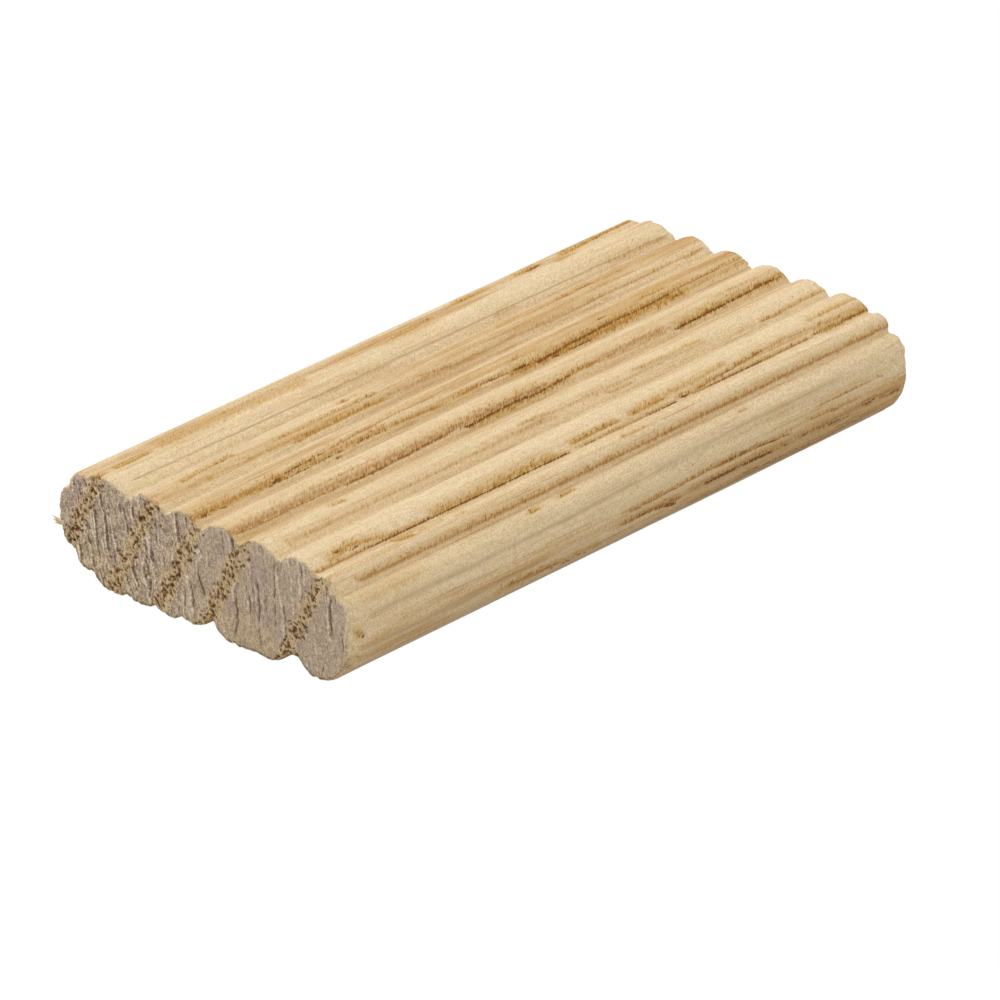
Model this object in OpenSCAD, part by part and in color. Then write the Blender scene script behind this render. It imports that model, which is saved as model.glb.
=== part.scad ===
// Loose tenon: a short flat bar of open-grained hardwood, sawn square at both ends.
// Rounded beads run along the grain all round its section, with narrow glue grooves
// between them. The upper face is fluted at an even pitch, and the underside unevenly,
// with one broad flat land that the bar lies on.
// X goes across the width, Y along the grain and Z through the thickness. The origin
// is under the middle of the bar, on the plane that it rests on.

/* [Bar] */
// Length along the grain
tenon_l = 63.5; // [20:0.5:150]
// Width over the side beads
tenon_w = 31.2; // [26:0.1:60]
// Thickness over the crowns of the beads
tenon_t = 9.5; // [7.5:0.1:16]

/* [Upper face] */
// Distance from groove to groove
bead_pitch = 4; // [3:0.1:6]
// Depth of the grooves below the crowns
groove_d = 0.8; // [0.4:0.05:1.2]
// Depth of the outermost groove on the left, which is cut shallow
outer_groove_d = 0.5; // [0.3:0.05:1.2]
// Width of the flat at the root of a groove
root_w = 0.35; // [0.1:0.05:0.8]
// Least width of the corner beads outside the even pitch
corner_w = 1.6; // [1.2:0.1:3]
// Rise of the left corner bead above its chord
left_corner_rise = 0.6; // [0.2:0.05:0.8]
// Rise of the right corner bead above its chord
right_corner_rise = 0.7; // [0.2:0.05:0.8]

/* [Sides] */
// Depth of the side shoulders below the crowns
shoulder_d = 1.9; // [1.2:0.05:2.4]
// How far the left side stands out beyond its shoulder
left_side_w = 1; // [0.6:0.05:1.6]
// How far the right side stands out beyond its shoulder
right_side_w = 1.9; // [1.2:0.05:2.4]
// Inset of the waist groove in the left side
left_waist_in = 0.4; // [0.2:0.05:0.6]
// Height of the left waist groove above the underside
left_waist_h = 4; // [3.5:0.1:5]
// Depth of the upper groove in the right side below the crowns
right_groove_d = 3.5; // [3:0.1:3.9]
// Height of the lower groove in the right side above the underside
right_groove_h = 3.3; // [2.6:0.1:3.4]
// Inset of both grooves in the right side
right_groove_in = 0.2; // [0.1:0.05:0.5]

/* [Underside] */
// Width of the bead next to the lower left shoulder
wide_bead_w = 3.6; // [2.4:0.1:4.5]
// Width of each of the narrow beads
narrow_bead_w = 2.9; // [2:0.1:3.5]
// Number of narrow beads
narrow_beads = 3; // [1:1:4]
// Depth of the grooves between the narrow beads
narrow_groove_d = 0.45; // [0.2:0.05:0.8]
// Depth of the deep grooves beside the broad land
deep_groove_d = 1.1; // [0.8:0.05:1.4]
// Width of the root of the deep groove on the land's left
left_root_w = 0.5; // [0.2:0.1:1.5]
// Width of the root of the deep groove on the land's right
right_root_w = 1.2; // [0.2:0.1:1.5]
// Radius of the broad land's edges
land_r = 1.6; // [1.2:0.1:1.9]
// Rise of the last narrow bead, whose crown is torn lower than the rest
torn_bead_rise = 0.6; // [0.3:0.05:0.8]
// Width of the bead between the broad land and the right side
edge_bead_w = 4.2; // [3:0.1:5]
// Rise of that bead above its chord
edge_bead_rise = 1.05; // [0.7:0.05:1.1]
// Height of the lower right corner bead's foot above the underside
edge_foot_h = 1; // [0.8:0.05:1.4]

/* [Hidden] */
planed = 0.05;          // how much the planer takes off the crown of each bead
lap = 0.1;              // how far a bead runs on past its roots, inside what is next to it
sink = 0.4;             // how far a bead runs into the core below its chord
crease_in = 0.25;       // how far the core stays inside a crease between two beads
curve_fn = 96;

// Upper face: as many whole beads as the width between the corner beads takes
left_x = -tenon_w / 2 + left_side_w;
right_x = tenon_w / 2 - right_side_w;
bead_n = floor((right_x - left_x - 2 * corner_w) / bead_pitch);
first_groove_x = (left_x + right_x - bead_n * bead_pitch) / 2;

// Lower left shoulder and corner bead, measured in from the left side
foot_in = 1.8;
foot_h = 2.3;
corner_bead_w = 1.9;
corner_bead_rise = 0.55;
lower_side_rise = 0.5;

// Right side: the bead below the shoulder, and the lower corner, where a shallow bead
// slopes up into the side
upper_side_rise = 0.6;
slope_in = 1.8;
slope_rise = 0.3;

// Grooves of the underside, from the left
wide_x = -tenon_w / 2 + foot_in + corner_bead_w;
narrow_x = wide_x + wide_bead_w;
land_left_x = narrow_x + narrow_beads * narrow_bead_w;
edge_right_x = tenon_w / 2 - slope_in;
edge_left_x = edge_right_x - edge_bead_w;
land_x = [land_left_x + left_root_w, edge_left_x - right_root_w];

// The section is a ring of grooves. Each entry is [x, z, flat, rise]: the middle of the
// groove's root, the width of its flat, which is negative where the ring runs back along
// the underside and 0 for a crease, and how far the next bead swells above the chord
// between its roots, which is 0 where there is no bead.

// Rise of a bead between roots of depths a and b, which brings its crown to the planer
function to_face(a, b) = (a + b) / 2 + planed;

// The upper face from left to right. The outermost groove is only a crease, and the
// last bead is the right corner's.
function top_grooves() = [
    [first_groove_x, tenon_t - outer_groove_d, 0, to_face(outer_groove_d, groove_d)],
    for (i = [1:bead_n])
        [first_groove_x + i * bead_pitch, tenon_t - groove_d, root_w,
         i < bead_n ? to_face(groove_d, groove_d) : right_corner_rise]
];

// The right side from its shoulder down to the foot of the slope
function right_grooves() = [
    [right_x, tenon_t - shoulder_d, 0, upper_side_rise],
    [tenon_w / 2 - right_groove_in, tenon_t - right_groove_d, 0,
     to_face(right_groove_in, right_groove_in)],
    [tenon_w / 2 - right_groove_in, right_groove_h, 0, slope_rise],
    [edge_right_x, edge_foot_h, 0, edge_bead_rise]
];

// The underside from right to left. The broad land between the first two grooves is a
// shape of its own.
function under_grooves() = [
    [edge_left_x - right_root_w / 2, deep_groove_d, -right_root_w, 0],
    [land_left_x + left_root_w / 2, deep_groove_d, -left_root_w, torn_bead_rise],
    for (i = [narrow_beads - 1:-1:1])
        [narrow_x + i * narrow_bead_w, narrow_groove_d, 0,
         to_face(narrow_groove_d, narrow_groove_d)],
    [narrow_x, narrow_groove_d, 0, to_face(deep_groove_d, narrow_groove_d)],
    [wide_x, deep_groove_d, -root_w, corner_bead_rise]
];

// The left side from its foot up to the shoulder
function left_grooves() = [
    [-tenon_w / 2 + foot_in, foot_h, 0, lower_side_rise],
    [-tenon_w / 2 + left_waist_in, left_waist_h, 0, to_face(left_side_w, left_waist_in)],
    [left_x, tenon_t - shoulder_d, 0, left_corner_rise]
];

ring = concat(top_grooves(), right_grooves(), under_grooves(), left_grooves());

// Where a groove's flat begins and ends, as the ring runs
function flat_start(groove) = [groove[0] - groove[2] / 2, groove[1]];
function flat_end(groove) = [groove[0] + groove[2] / 2, groove[1]];

// The core's points at a groove: both ends of a flat, run on under the beads beside it,
// or one point inside a crease, towards the middle of the section
function core_points(groove) =
    groove[2] != 0
        ? [flat_start(groove) - [sign(groove[2]) * lap, 0],
           flat_end(groove) + [sign(groove[2]) * lap, 0]]
        : let (root = [groove[0], groove[1]], way = [0, tenon_t / 2] - root)
          [root + crease_in * way / norm(way)];

// Runs a shape drawn in the section along the grain
module along_grain() {
    translate([0, tenon_l / 2, 0])
        rotate([90, 0, 0])
            linear_extrude(tenon_l) children();
}

// A bead on the chord from a to b, whose crown is a circle's arc that swells out to the
// left of the way from a to b
module bead(a, b, rise) {
    chord = norm(b - a);
    r = (chord * chord / 4 + rise * rise) / (2 * rise);
    translate((a + b) / 2)
        rotate(atan2(b.y - a.y, b.x - a.x))
            intersection() {
                translate([0, rise - r]) circle(r, $fn = curve_fn);
                translate([-chord / 2 - lap, -sink])
                    square([chord + 2 * lap, sink + rise + lap]);
            }
}

// The broad land: flat on the plane that the bar rests on, with round edges, which are
// smaller where the land is narrow
module land() {
    r = min(land_r, (land_x[1] - land_x[0]) / 2 - lap);
    middle_x = [land_x[0] + r, land_x[1] - r];
    for (x = middle_x)
        along_grain() translate([x, r - planed]) circle(r, $fn = curve_fn);
    along_grain()
        translate([middle_x[0], -planed / 2])
            square([middle_x[1] - middle_x[0], deep_groove_d + sink]);
}

// The core inside the grooves, with the beads and the land on it
module fluted_bar() {
    along_grain() polygon([for (groove = ring) each core_points(groove)]);
    for (i = [0:len(ring) - 1])
        if (ring[i][3] > 0) {
            next = ring[(i + 1) % len(ring)];
            along_grain() bead(flat_end(ring[i]), flat_start(next), ring[i][3]);
        }
    land();
}

// The bar, with its crowns planed to its width and thickness
module tenon() {
    color("burlywood")
        intersection() {
            fluted_bar();
            translate([-tenon_w / 2, -tenon_l / 2, 0]) cube([tenon_w, tenon_l, tenon_t]);
        }
}

tenon();
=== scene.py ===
import math

import bpy
import numpy as np
from mathutils import Matrix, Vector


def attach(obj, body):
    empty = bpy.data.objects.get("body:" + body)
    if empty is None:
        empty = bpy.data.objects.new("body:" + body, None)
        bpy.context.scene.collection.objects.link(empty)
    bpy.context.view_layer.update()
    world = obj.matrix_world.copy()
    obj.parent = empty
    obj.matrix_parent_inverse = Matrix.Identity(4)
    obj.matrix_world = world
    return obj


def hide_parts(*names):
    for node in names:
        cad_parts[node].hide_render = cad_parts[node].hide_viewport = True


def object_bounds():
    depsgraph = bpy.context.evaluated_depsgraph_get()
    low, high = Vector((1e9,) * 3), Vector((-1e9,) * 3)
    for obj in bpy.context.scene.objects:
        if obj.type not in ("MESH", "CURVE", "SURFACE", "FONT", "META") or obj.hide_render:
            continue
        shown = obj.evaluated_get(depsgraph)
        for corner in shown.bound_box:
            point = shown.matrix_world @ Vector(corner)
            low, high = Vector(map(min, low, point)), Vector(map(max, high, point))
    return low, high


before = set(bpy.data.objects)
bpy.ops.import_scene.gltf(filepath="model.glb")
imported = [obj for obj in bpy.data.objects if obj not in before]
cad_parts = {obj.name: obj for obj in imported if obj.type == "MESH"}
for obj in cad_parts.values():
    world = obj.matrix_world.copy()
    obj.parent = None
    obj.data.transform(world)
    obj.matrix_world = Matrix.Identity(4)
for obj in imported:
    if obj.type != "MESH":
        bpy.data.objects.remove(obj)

# Loose tenon: a short fluted bar of ash, sawn square at both ends.
# Everything below is worked out in millimetres and goes into the meshes in metres.
# X runs across the width, Y along the grain, Z up from the floor.

cad_low, cad_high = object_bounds()

MM = 0.001
WIDTH, LENGTH, THICK = np.subtract(cad_high, cad_low).round(4) / MM
NEAR, FAR = -LENGTH / 2, LENGTH / 2
SIDE = WIDTH / 2
END_AT = {"near": NEAR, "far": FAR}

# ---------------------------------------------------------------- random relief

TABLE = 128                     # random heights each way before the relief repeats


def relief(u, v, cell_u, cell_v, seed):
    """Smooth random relief from -1 to 1: random heights at the corners of cells of
    cell_u by cell_v mm, blended across each cell by smoothstep weights."""
    table = np.random.default_rng(seed).uniform(-1, 1, (TABLE, TABLE))
    a, b = np.broadcast_arrays(u / cell_u, v / cell_v)
    i, j = np.floor(a).astype(int), np.floor(b).astype(int)
    p, q = a - i, b - j
    p, q = p * p * (3 - 2 * p), q * q * (3 - 2 * q)

    def corner(di, dj):
        """The random height at one corner of each point's cell."""
        return table[(i + di) % TABLE, (j + dj) % TABLE]

    low = corner(0, 0) * (1 - p) + corner(1, 0) * p
    high = corner(0, 1) * (1 - p) + corner(1, 1) * p
    return low * (1 - q) + high * q


def step(value, low, high):
    """Smoothstep: 0 below low, 1 above high and an S curve between."""
    t = np.clip((value - low) / (high - low), 0, 1)
    return t * t * (3 - 2 * t)


# ---------------------------------------------------------------- section

# The section is a ring of grooves: the middle of each root, the width of its flat
# (negative along the underside, which runs back) and the rise of the next bead above
# the chord between the roots.
PITCH, FIRST_GROOVE = 4, -12.45         # the even flutes of the upper face, from the left
FLUTE, FLAT = THICK - 0.8, 0.35         # height of their roots, and width of the flat there
SHOULDER = THICK - 1.9
DEEP, SHALLOW = 1.1, 0.45               # heights of the roots along the underside
NARROW_PITCH, FIRST_NARROW = 2.9, -2.5  # the narrow beads of the underside, from the right
UPPER = [
    (-SIDE + 0.4, 4.0, 0, 0.75),
    (-SIDE + 1.0, SHOULDER, 0, 0.6),
    (FIRST_GROOVE, THICK - 0.5, 0, 0.7),
    *((FIRST_GROOVE + PITCH * i, FLUTE, FLAT, 0.85) for i in range(1, 6)),
    (FIRST_GROOVE + PITCH * 6, FLUTE, FLAT, 0.7),
    (SIDE - 1.9, SHOULDER, 0, 0.6),
    (SIDE - 0.2, THICK - 3.5, 0, 0.25),
    (SIDE - 0.2, 3.3, 0, 0.3),
]
LOWER = [
    UPPER[-1],
    (SIDE - 1.8, 1.0, 0, 1.05),
    (9.0, DEEP, -1.2, 0),
    (0.65, DEEP, -0.5, 0.6),
    (FIRST_NARROW, SHALLOW, 0, 0.5),
    (FIRST_NARROW - NARROW_PITCH, SHALLOW, 0, 0.5),
    (FIRST_NARROW - NARROW_PITCH * 2, SHALLOW, 0, 0.825),
    (-SIDE + 3.7, DEEP, -FLAT, 0.55),
    (-SIDE + 1.8, 2.3, 0, 0.5),
    UPPER[0],
]
LAND = (8.4, 0.9, 1.6)          # right and left end of the broad land, radius of its edges
PLANED = 0.05                   # how much of the land's edges the planer takes off
UPPER_COLUMNS, LOWER_COLUMNS = 400, 200


def bead(a, b, rise, count=60):
    """The circle's arc from root a to root b whose crown stands rise to the left of the
    way from a to b."""
    a, b = np.array(a), np.array(b)
    way = b - a
    chord = np.hypot(*way)
    radius = (chord ** 2 / 4 + rise ** 2) / (2 * rise)
    half = math.asin(chord / 2 / radius)
    t = np.linspace(-half, half, count)
    along = way / chord
    left = np.array([-along[1], along[0]])
    return ((a + b) / 2 + np.outer(radius * np.sin(t), along)
            + np.outer(radius * np.cos(t) - radius + rise, left))


def land():
    """The broad land: a quarter round, a flat and a quarter round, from right to left.
    The quarter rounds start a little above their widest, where the deep grooves end."""
    right, left, radius = LAND
    t = np.radians(np.linspace(-14, -90, 30))
    edge = np.column_stack([np.cos(t), np.sin(t)]) * radius
    near = edge + [right - radius, radius - PLANED]
    far = edge[::-1] * [-1, 1] + [left + radius, radius - PLANED]
    return np.vstack([near, far])


def pieces_of(grooves):
    """Flats, beads and the land of one half of the ring, in order, each as points."""
    out = []
    for (x0, z0, flat0, rise), (x1, z1, flat1, _) in zip(grooves, grooves[1:]):
        if flat0:
            out.append(np.array([[x0 - flat0 / 2, z0], [x0 + flat0 / 2, z0]]))
        a, b = (x0 + flat0 / 2, z0), (x1 - flat1 / 2, z1)
        if rise:
            out.append(bead(a, b, rise))
        else:
            out.append(np.vstack([[a], land(), [b]]))
    return out


def even(points, count):
    """count points along a line of points, at even distances, without the last one."""
    run = np.concatenate([[0], np.cumsum(np.hypot(*np.diff(points, axis=0).T))])
    at = np.linspace(0, run[-1], count + 1)[:-1]
    return np.column_stack([np.interp(at, run, points[:, k]) for k in (0, 1)])


def half_ring(grooves, columns):
    """One half of the section with so many points, shared out among its pieces by their
    length, so that every root is a point of its own."""
    parts = pieces_of(grooves)
    size = np.array([np.hypot(*np.diff(p, axis=0).T).sum() for p in parts])
    share = np.maximum(size / size.sum() * columns, 2)
    count = np.floor(share).astype(int)
    spare = columns - count.sum()
    order = np.argsort(count - share) if spare > 0 else np.argsort(-count)
    for k in range(abs(spare)):
        count[order[k % len(order)]] += np.sign(spare)
    return np.vstack([even(p, n) for p, n in zip(parts, count)])


def section():
    """The whole ring, clockwise seen from the near end, planed to width and thickness,
    with the outward direction at each point."""
    ring = np.vstack([half_ring(UPPER, UPPER_COLUMNS), half_ring(LOWER, LOWER_COLUMNS)])
    ring[:, 0] = np.clip(ring[:, 0], -SIDE, SIDE)
    ring[:, 1] = np.clip(ring[:, 1], 0, THICK)
    way = np.roll(ring, -1, 0) - np.roll(ring, 1, 0)
    out = np.column_stack([-way[:, 1], way[:, 0]])
    return ring, out / np.hypot(*out.T)[:, None]


# ---------------------------------------------------------------- growth rings

# Middle of each earlywood band at the near end, where it would meet the upper face, how
# far it drifts sideways by the far end, and its half width.
BANDS = np.array([
    (-18.2, 0.0, 0.7), (-11.4, -1.5, 0.8), (-5.5, 0.2, 0.85), (-0.7, -0.4, 0.8),
    (4.1, 0.2, 0.8), (12.2, -0.8, 0.75), (20.3, -1.8, 0.9), (26.5, 0.0, 0.9),
])
RING_LEAN, RING_TOP = 0.5, 9    # sideways lean for each mm of height, and the height it starts at


def ring_place(x, y, z):
    """Where the growth ring through a point would meet the upper face: the rings stand
    steeply in the section, lean to the right going up, and waver a little."""
    lean = RING_LEAN * (z - RING_TOP)
    return x - lean + 0.22 * relief(z, y, 2.3, 40, 11) + 0.1 * relief(x, z, 1.1, 1.3, 12)


def earlywood(x, y, z):
    """1 inside an earlywood band and 0 outside it, with soft edges: the sum over the
    bands of a flat-topped bell curve of the distance from each band's middle."""
    place = ring_place(x, y, z)[..., None]
    middle = BANDS[:, 0] + BANDS[:, 1] * ((y[..., None] - NEAR) / LENGTH)
    return np.exp(-np.abs((place - middle) / BANDS[:, 2]) ** 3).sum(-1).clip(0, 1)


# ---------------------------------------------------------------- open vessel lines

# The lines of open vessels on the upper face. Each has its stain, its half width in mm,
# its strength and the points (y, across) that it runs through, seen along the sheet
# that it lies in, which leans over to the left going down.
SHEET_LEAN = (1.376, 1.506)     # how far it moves across and along for each mm of depth
SHEET_TOP = 9.2
VESSEL_LINES = [
    ("gold", 0.16, 0.7, [(-31.4, -11.3), (-30.2, -11.5)]),
    ("gold", 0.15, 0.9, [(-29.4, -11.45), (-27.5, -11.45), (-25.6, -11.5)]),
    ("gold", 0.55, 0.45, [(-24.5, -11.8), (-16, -11.8), (-8, -11.7)]),
    ("gold", 0.2, 0.4, [(-28, -12.5), (-26.8, -12.4)]),
    ("gold", 0.16, 0.75, [(1.5, -11.8), (4, -11.9), (6.6, -12.05)]),
    ("gold", 0.5, 0.35, [(0, -11.7), (5, -11.6), (7, -11.7)]),
    ("gold", 0.13, 0.9, [(9.6, -12.6), (11.8, -12.6)]),
    ("dark", 0.1, 0.5, [(10.4, -12.65), (11.2, -12.6)]),
    ("gold", 0.12, 0.6, [(11.8, -12.6), (13.8, -12.6)]),
    ("gold", 0.15, 0.6, [(16.8, -12.6), (17.8, -12.5)]),
    ("dark", 0.13, 0.75, [(18, -12.55), (19.8, -12.6)]),
    ("gold", 0.22, 0.8, [(18, -12.55), (19.8, -12.6)]),
    ("gold", 0.2, 0.85, [(22.2, -12.6), (25, -12.7), (28, -12.9), (31.4, -13)]),
    ("dark", 0.1, 0.45, [(26, -12.7), (28, -12.9), (31.4, -13)]),
    ("gold", 0.18, 0.55, [(21, -12), (23.6, -12)]),
    ("brown", 0.35, 0.3, [(-10.5, -8.8), (-6, -8.8), (-2, -8.8)]),
    ("grey", 0.14, 0.8, [(-30, -9.1), (-8, -9), (10, -9.1), (31, -9)]),
    ("brown", 0.3, 0.6, [(-31, 15.2), (31, 15.2)]),
    ("brown", 0.1, 0.5, [(-28, -5), (-18, -5.05), (31, -5)]),
    ("brown", 0.3, 0.35, [(10, -8.7), (12, -8.8), (13, -8.8)]),
    ("brown", 0.3, 0.4, [(23.5, -8.8), (26.8, -8.8), (30.5, -8.8)]),
    ("grey", 0.1, 0.5, [(-30.5, -7), (-26.5, -7)]),
    ("grey", 0.14, 0.4, [(-25, -7.1), (-21, -7.3), (-19, -7.2)]),
    ("grey", 0.1, 0.45, [(-19, -7.5), (-16, -7.65), (-12, -7.7)]),
    ("grey", 0.3, 0.3, [(-4, -7.5), (2, -7.3), (8, -7.4)]),
    ("gold", 0.14, 0.7, [(-28, -6.1), (-25.5, -6.3), (-24, -6.4), (-21.4, -6.5)]),
    ("dark", 0.08, 0.6, [(-23.7, -6.4), (-21.8, -6.45)]),
    ("gold", 0.15, 0.6, [(-31.2, -6), (-30.4, -6)]),
    ("gold", 0.7, 0.28, [(-31, -5.3), (-20, -5.4), (-6, -5.4)]),
    ("gold", 0.15, 0.5, [(-28.4, -4.8), (-24.8, -4.8)]),
    ("grey", 0.09, 0.6, [(-20.2, -4.1), (-18.6, -4.2), (-16.6, -4.4)]),
    ("gold", 0.2, 0.75, [(-17, -4.5), (-15, -4.7), (-12, -4.8), (-10, -4.9), (-6.4, -4.75)]),
    ("brown", 0.12, 0.5, [(-16, -4.65), (-13, -4.75), (-10, -4.85), (-6.4, -4.75)]),
    ("gold", 0.13, 0.6, [(-18, -5.9), (-15, -5.9), (-12, -6), (-8, -6), (-6.2, -6.05)]),
    ("dark", 0.12, 0.9, [(-7.2, -5.9), (-6.5, -6)]),
    ("dark", 0.1, 0.7, [(-8.5, -5.7), (-8.1, -5.8)]),
    ("gold", 0.12, 0.7, [(-9.9, -6.75), (-8.6, -6.75)]),
    ("gold", 0.1, 0.5, [(-8.2, -6.8), (-7, -6.6)]),
    ("brown", 0.45, 0.35, [(-5, -4.9), (2, -4.9), (9, -5.1), (16, -5)]),
    ("brown", 0.12, 0.8, [(-1.8, -5.2), (0, -5.15), (1.5, -5.15)]),
    ("brown", 0.09, 0.5, [(-2.2, -5.7), (-0.6, -5.6)]),
    ("brown", 0.18, 0.45, [(9, -5), (13, -4.8), (18, -4.9)]),
    ("brown", 0.25, 0.4, [(17, -5.1), (22, -5), (28, -5.2), (31, -5.2)]),
    ("brown", 0.15, 0.5, [(28.5, -4.8), (30.2, -4.9)]),
    ("gold", 0.2, 0.45, [(8.6, -7.2), (10, -7.2), (11.5, -7.4)]),
    ("brown", 0.13, 0.8, [(15.8, -7.1), (16.6, -7.2), (17.5, -7.2)]),
    ("brown", 0.14, 0.8, [(18, -7.25), (19.9, -7.3)]),
    ("brown", 0.25, 0.4, [(20, -7.2), (24, -7.2)]),
    ("grey", 0.08, 0.55, [(23, -7.8), (27, -7.75), (32, -7.8)]),
    ("grey", 0.1, 0.4, [(22, -6.9), (31, -6.8)]),
    ("dark", 0.1, 0.5, [(18.6, -4.3), (19.2, -4.35)]),
    ("grey", 0.11, 0.45, [(-28.5, -2.7), (-24, -2.9), (-20, -3), (-16, -3.2), (-10, -3.5),
       (-6, -3.6)]),
    ("brown", 0.12, 0.6, [(-12, -2.1), (-8, -2.4), (-3.6, -2.3)]),
    ("brown", 0.13, 0.8, [(5.1, -2.15), (6.1, -2.3)]),
    ("gold", 0.35, 0.3, [(2, -2.3), (8, -2.3)]),
    ("dark", 0.12, 0.75, [(15, -2.35), (15.9, -2.35)]),
    ("gold", 0.16, 0.9, [(19.6, -2.4), (21.2, -2.45), (23.2, -2.45)]),
    ("gold", 0.5, 0.55, [(-32, -1.3), (-24, -1.2), (-16, -1.3), (-10, -1.3)]),
    ("brown", 0.5, 0.6, [(-32, -1.2), (-28, -1.2), (-22, -1.2)]),
    ("dark", 0.22, 1, [(-31.2, -0.8), (-30.4, -0.85)]),
    ("dark", 0.1, 0.6, [(-31.6, -1.2), (-29, -1)]),
    ("dark", 0.13, 1, [(-28.9, -0.7), (-28.5, -0.85)]),
    ("dark", 0.14, 1, [(-27.3, -0.7), (-27, -0.9)]),
    ("dark", 0.14, 1, [(-24.9, -0.7), (-24.5, -0.85)]),
    ("dark", 0.27, 1, [(-23.2, -1), (-22.3, -1.1)]),
    ("gold", 0.4, 0.9, [(-23.6, -1), (-21.8, -1.2)]),
    ("dark", 0.13, 0.9, [(-21.6, -1.35), (-20.5, -1.5), (-19, -1.65), (-17.8, -1.7)]),
    ("dark", 0.1, 0.8, [(-17.8, -1.7), (-16, -1.85)]),
    ("brown", 0.1, 0.8, [(-16, -1.85), (-14, -2), (-12, -2.2), (-10, -2.3)]),
    ("dark", 0.12, 0.7, [(-24, -0.7), (-20, -0.8), (-17, -0.95), (-15.4, -1)]),
    ("dark", 0.13, 0.75, [(-14, -1), (-12, -1.1), (-10.6, -1)]),
    ("dark", 0.1, 0.7, [(-17.9, -0.2), (-17.3, -0.35)]),
    ("dark", 0.18, 1, [(-16.9, -0.3), (-16.4, -0.4)]),
    ("dark", 0.1, 0.9, [(-15, -0.2), (-14.7, -0.6)]),
    ("dark", 0.1, 0.9, [(-13.6, -1), (-13.2, -1.3)]),
    ("dark", 0.12, 1, [(-12.1, -1.2), (-11.7, -1.6)]),
    ("dark", 0.12, 0.9, [(-10.5, -1.3), (-10.2, -1.7)]),
    ("grey", 0.16, 0.6, [(-10.4, -0.3), (-8.4, -0.3)]),
    ("dark", 0.1, 0.8, [(-8.7, -0.1), (-8.4, -0.4)]),
    ("gold", 0.35, 0.5, [(-10, -1.1), (-4, -1), (0, -0.9)]),
    ("brown", 0.14, 0.7, [(-9.5, -1.2), (-7.5, -1), (-4.5, -0.9)]),
    ("gold", 0.2, 0.8, [(-5.6, -0.8), (-4.6, -0.8)]),
    ("brown", 0.16, 0.75, [(-2.5, -1), (0, -1.1), (2, -1.05), (4, -0.95)]),
    ("dark", 0.14, 0.85, [(0.6, -1.1), (2, -1)]),
    ("dark", 0.2, 1, [(3.9, -0.95), (5.6, -0.85)]),
    ("dark", 0.22, 1, [(6, -0.6), (7.5, -0.7), (9, -0.8)]),
    ("dark", 0.14, 0.9, [(7.8, -0.3), (8.3, -0.25)]),
    ("gold", 0.5, 0.85, [(3, -0.7), (8, -0.6), (12, -0.7), (18, -0.8), (23.6, -0.8)]),
    ("dark", 0.2, 0.8, [(9, -0.9), (10.4, -1)]),
    ("dark", 0.18, 0.85, [(10.4, -1), (12, -1), (14, -1.15), (16, -1.25)]),
    ("dark", 0.18, 0.85, [(16, -1.25), (18, -1.2), (20, -1.25), (22.6, -1.45)]),
    ("gold", 0.2, 0.9, [(10, -1.2), (16, -1.4), (22.6, -1.5)]),
    ("dark", 0.1, 0.7, [(9.4, -0.2), (12, -0.3)]),
    ("dark", 0.16, 0.9, [(22.1, -0.7), (22.6, -0.9)]),
    ("dark", 0.12, 0.7, [(23.1, -0.7), (23.6, -0.8)]),
    ("brown", 0.1, 0.85, [(22.6, -1.5), (24.5, -1.6), (28, -1.65), (31.6, -1.7)]),
    ("gold", 0.5, 0.4, [(23, -1), (31.5, -1.1)]),
    ("dark", 0.08, 0.7, [(26.5, -0.15), (27, -0.4)]),
    ("brown", 0.6, 0.5, [(-32, 2.6), (-24, 2.6), (-16, 2.7), (-8, 2.6)]),
    ("brown", 0.15, 0.75, [(-31.5, 3.1), (-28, 3.15), (-24, 3.1), (-20, 3.2)]),
    ("dark", 0.1, 0.45, [(-31, 3.1), (-29.6, 3.1)]),
    ("dark", 0.13, 0.6, [(-19.6, 3.3), (-16, 3.35), (-12, 3.2)]),
    ("brown", 0.2, 0.8, [(-19.6, 3.3), (-16, 3.3), (-12, 3.2), (-8, 3)]),
    ("dark", 0.12, 0.7, [(-12, 3.1), (-8, 2.9), (-6.4, 2.8)]),
    ("dark", 0.1, 1, [(-7.4, 3.6), (-7.1, 3.15)]),
    ("dark", 0.1, 0.6, [(-6.4, 3.5), (-6.1, 3.2)]),
    ("dark", 0.2, 1, [(-6.2, 3.2), (-4.8, 3.2), (-3, 3)]),
    ("dark", 0.2, 1, [(-3, 3), (0, 2.95), (1.6, 3.1)]),
    ("dark", 0.26, 1, [(0.8, 3.1), (1.5, 3.25)]),
    ("gold", 0.45, 0.7, [(-6.2, 3.3), (-2, 3.3), (2, 3.3), (6, 3)]),
    ("brown", 0.5, 0.6, [(-8, 2.6), (-2, 2.5), (4, 2.6)]),
    ("dark", 0.17, 0.85, [(2, 3.2), (4, 3), (6.2, 2.9)]),
    ("gold", 0.2, 0.8, [(5, 3), (7, 2.75), (9.4, 2.7)]),
    ("brown", 0.6, 0.45, [(6, 2.7), (12, 2.6), (18, 2.7)]),
    ("brown", 0.15, 0.5, [(10, 2.4), (14, 2.45), (18, 2.3)]),
    ("gold", 0.1, 0.6, [(10, 3.2), (14, 3.2), (17, 3.3)]),
    ("dark", 0.1, 1, [(17.9, 3.6), (18.3, 3.2)]),
    ("dark", 0.2, 0.9, [(18.4, 3.3), (20, 3.2), (22, 3.15), (24, 3.1)]),
    ("dark", 0.18, 0.85, [(24, 3.1), (26, 3), (28, 2.9), (31, 2.9)]),
    ("dark", 0.25, 0.9, [(28.4, 2.75), (29.7, 2.85)]),
    ("dark", 0.18, 0.8, [(30.2, 2.8), (30.7, 2.9)]),
    ("gold", 0.5, 0.7, [(18.4, 3.2), (24, 3), (31.6, 2.9)]),
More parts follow.
